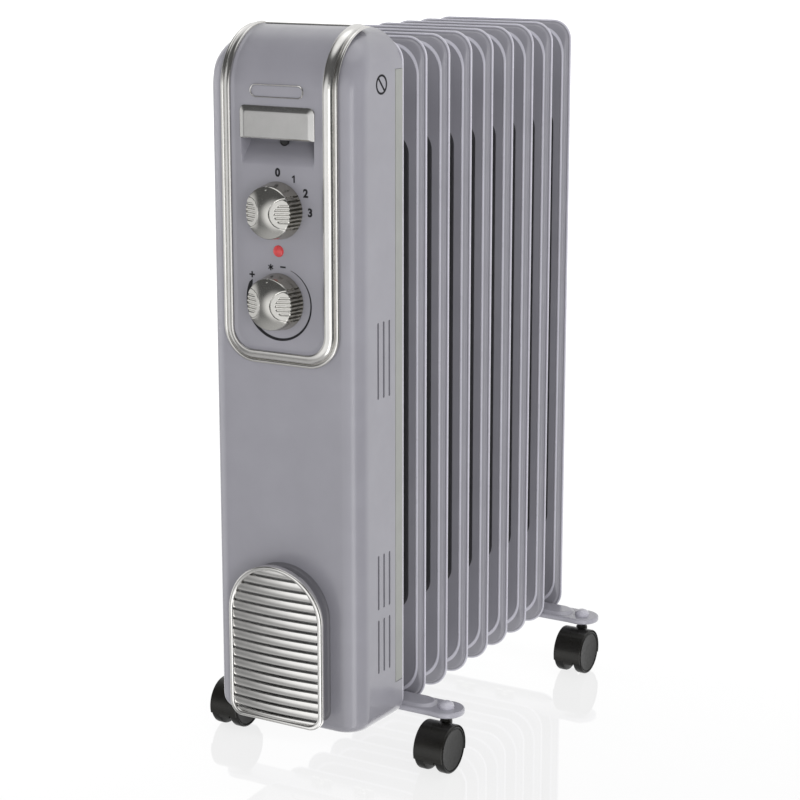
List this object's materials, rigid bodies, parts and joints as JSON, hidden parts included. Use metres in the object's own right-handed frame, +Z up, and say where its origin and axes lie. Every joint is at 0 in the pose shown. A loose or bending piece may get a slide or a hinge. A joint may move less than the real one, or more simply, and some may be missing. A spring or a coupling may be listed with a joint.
{
  "type": "oil filled radiator heater",
  "caption": "Free-standing oil filled column heater: pressed steel fins, front control housing with chrome trim, two knobs and grille, on swivelling twin wheel casters.",
  "frame": {"origin": "on the floor, under the middle of the heater's bounding box", "axes": "+Z up, -Y towards the front with the controls, +X to the right seen from the front"},
  "size_m": [0.2428, 0.4208, 0.637],
  "materials": {
    "housing_paint": "satin",
    "fin_paint": "satin",
    "chrome_trim": "polished",
    "chrome_knob": "satin",
    "satin_grille": "satin",
    "black_plastic": "matte",
    "caster_plastic": "satin",
    "wheel_plastic": "matte",
    "bakelite": "matte",
    "red_lens": "gloss",
    "glass_tube": "clear",
    "ceramic": "matte",
    "lead_insulation": "matte",
    "black_rubber": "matte",
    "element_steel": "satin",
    "zinc_steel": "satin"
  },
  "bodies": {
    "root": {"housing_shell": "housing_paint", "rear_plate": "housing_paint", "trim_frame": "chrome_trim", "control_panel": "housing_paint", "name_badge": "chrome_trim", "grip_plate": "chrome_trim", "selector_switch": "black_plastic", "thermostat_body": "bakelite", "indicator_lens": "red_lens", "indicator_lamp": "glass_tube", "front_grille": "satin_grille", "grille_duct": "fin_paint", "grille_backing": "black_plastic", "thermal_cutout": "ceramic", "tip_over_switch": "black_plastic", "terminal_block": "ceramic", "wiring_loom": "lead_insulation", "cord_inlet": "black_rubber", "heating_element": "element_steel", "element_flange": "zinc_steel", "element_gasket": "black_rubber", "filler_plug": "zinc_steel", "end_plugs": "fin_paint", "fin_0": "fin_paint", "fin_1": "fin_paint", "fin_2": "fin_paint", "fin_3": "fin_paint", "fin_4": "fin_paint", "fin_5": "fin_paint", "fin_6": "fin_paint", "fin_7": "fin_paint", "fin_8": "fin_paint", "upper_collars": "fin_paint", "lower_collars": "fin_paint", "bracket_front": "fin_paint", "bracket_rear": "fin_paint", "u_bolts": "zinc_steel", "wing_nuts": "zinc_steel", "stem_caps": "fin_paint", "housing_screws": "zinc_steel"},
    "selector": {"selector_knob": "chrome_knob", "selector_spindle": "zinc_steel"},
    "thermostat": {"thermostat_knob": "chrome_knob", "thermostat_spindle": "zinc_steel"},
    "swivel_fr": {"caster_hood_fr": "caster_plastic", "caster_axle_fr": "zinc_steel"},
    "outer_wheel_fr": {"wheel_outer_fr": "wheel_plastic"},
    "inner_wheel_fr": {"wheel_inner_fr": "wheel_plastic"},
    "swivel_fl": {"caster_hood_fl": "caster_plastic", "caster_axle_fl": "zinc_steel"},
    "outer_wheel_fl": {"wheel_outer_fl": "wheel_plastic"},
    "inner_wheel_fl": {"wheel_inner_fl": "wheel_plastic"},
    "swivel_rr": {"caster_hood_rr": "caster_plastic", "caster_axle_rr": "zinc_steel"},
    "outer_wheel_rr": {"wheel_outer_rr": "wheel_plastic"},
    "inner_wheel_rr": {"wheel_inner_rr": "wheel_plastic"},
    "swivel_rl": {"caster_hood_rl": "caster_plastic", "caster_axle_rl": "zinc_steel"},
    "outer_wheel_rl": {"wheel_outer_rl": "wheel_plastic"},
    "inner_wheel_rl": {"wheel_inner_rl": "wheel_plastic"}
  },
  "joints": [
    {"name": "selector_turn", "type": "hinge", "parent": "root", "child": "selector", "pos_m": [0, -0.1879, 0.489], "axis": [0, 1, 0], "range_deg": [0, 90]},
    {"name": "thermostat_turn", "type": "hinge", "parent": "root", "child": "thermostat", "pos_m": [0, -0.1879, 0.4144], "axis": [0, 1, 0], "range_deg": [-15, 305]},
    {"name": "swivel_fr_turn", "type": "hinge", "parent": "root", "child": "swivel_fr", "pos_m": [0.1054, -0.0942, 0.048], "axis": [0, 0, 1], "continuous": true},
    {"name": "outer_wheel_fr_roll", "type": "hinge", "parent": "swivel_fr", "child": "outer_wheel_fr", "pos_m": [0.1054, -0.1062, 0.0208], "axis": [1, 0, 0], "continuous": true},
    {"name": "inner_wheel_fr_roll", "type": "hinge", "parent": "swivel_fr", "child": "inner_wheel_fr", "pos_m": [0.1054, -0.1062, 0.0208], "axis": [1, 0, 0], "continuous": true},
    {"name": "swivel_fl_turn", "type": "hinge", "parent": "root", "child": "swivel_fl", "pos_m": [-0.1054, -0.0942, 0.048], "axis": [0, 0, 1], "continuous": true},
    {"name": "outer_wheel_fl_roll", "type": "hinge", "parent": "swivel_fl", "child": "outer_wheel_fl", "pos_m": [-0.1054, -0.1062, 0.0208], "axis": [1, 0, 0], "continuous": true},
    {"name": "inner_wheel_fl_roll", "type": "hinge", "parent": "swivel_fl", "child": "inner_wheel_fl", "pos_m": [-0.1054, -0.1062, 0.0208], "axis": [1, 0, 0], "continuous": true},
    {"name": "swivel_rr_turn", "type": "hinge", "parent": "root", "child": "swivel_rr", "pos_m": [0.1054, 0.1816, 0.048], "axis": [0, 0, 1], "continuous": true},
    {"name": "outer_wheel_rr_roll", "type": "hinge", "parent": "swivel_rr", "child": "outer_wheel_rr", "pos_m": [0.1054, 0.1696, 0.0208], "axis": [1, 0, 0], "continuous": true},
    {"name": "inner_wheel_rr_roll", "type": "hinge", "parent": "swivel_rr", "child": "inner_wheel_rr", "pos_m": [0.1054, 0.1696, 0.0208], "axis": [1, 0, 0], "continuous": true},
    {"name": "swivel_rl_turn", "type": "hinge", "parent": "root", "child": "swivel_rl", "pos_m": [-0.1054, 0.1816, 0.048], "axis": [0, 0, 1], "continuous": true},
    {"name": "outer_wheel_rl_roll", "type": "hinge", "parent": "swivel_rl", "child": "outer_wheel_rl", "pos_m": [-0.1054, 0.1696, 0.0208], "axis": [1, 0, 0], "continuous": true},
    {"name": "inner_wheel_rl_roll", "type": "hinge", "parent": "swivel_rl", "child": "inner_wheel_rl", "pos_m": [-0.1054, 0.1696, 0.0208], "axis": [1, 0, 0], "continuous": true}
  ]
}
